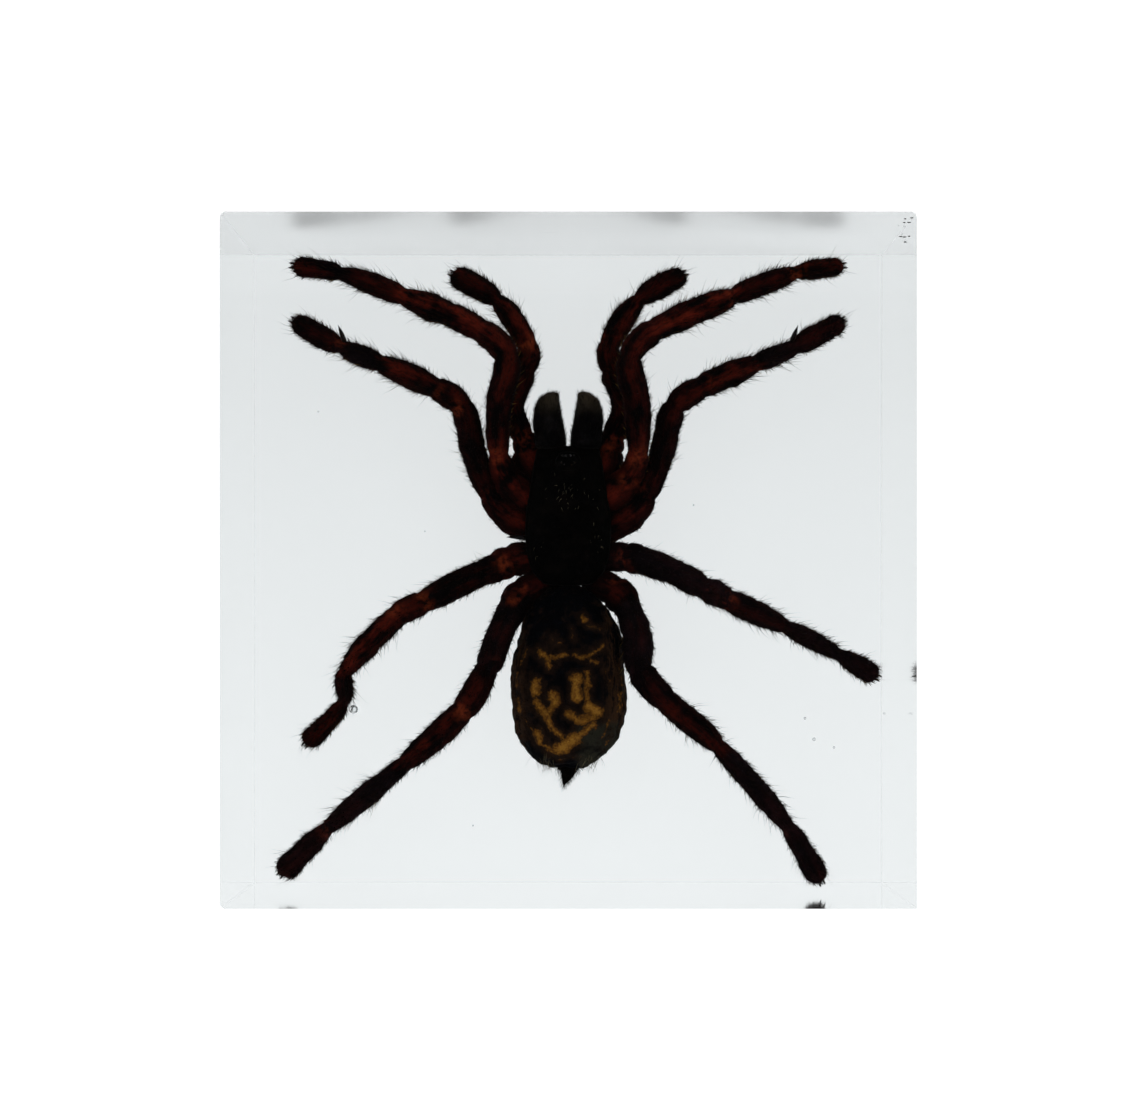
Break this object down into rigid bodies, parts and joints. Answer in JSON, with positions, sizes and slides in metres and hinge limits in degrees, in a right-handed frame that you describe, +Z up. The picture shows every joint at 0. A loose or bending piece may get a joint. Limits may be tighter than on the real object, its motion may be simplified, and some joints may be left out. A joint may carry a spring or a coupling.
{
  "type": "tarantula specimen in clear resin block",
  "caption": "Square slab of clear cast resin with a dried tarantula sealed in it, seen from above.",
  "frame": {"origin": "middle of the slab's lower face, on the surface it rests on", "axes": "+Z up out of the slab's large face, +Y towards the spider's head, +X towards the spider's right"},
  "size_m": [0.075, 0.075, 0.024],
  "materials": {
    "clear_resin": "polished clear casting",
    "chitin": "near-black dried shell",
    "leg_skin": "dark red-brown, hairy",
    "abdomen_skin": "wrinkled, dark with ochre patches"
  },
  "bodies": {
    "root": {"resin_block_lower": "clear_resin", "resin_block_upper": "clear_resin", "cephalothorax": "chitin", "abdomen": "abdomen_skin", "spinnerets": "chitin", "chelicera_left": "chitin", "chelicera_right": "chitin", "pedipalp_left": "leg_skin", "pedipalp_right": "leg_skin", "leg_1_left": "leg_skin", "leg_1_right": "leg_skin", "leg_2_left": "leg_skin", "leg_2_right": "leg_skin", "leg_3_left": "leg_skin", "leg_3_right": "leg_skin", "leg_4_left": "leg_skin", "leg_4_right": "leg_skin"}
  },
  "joints": []
}
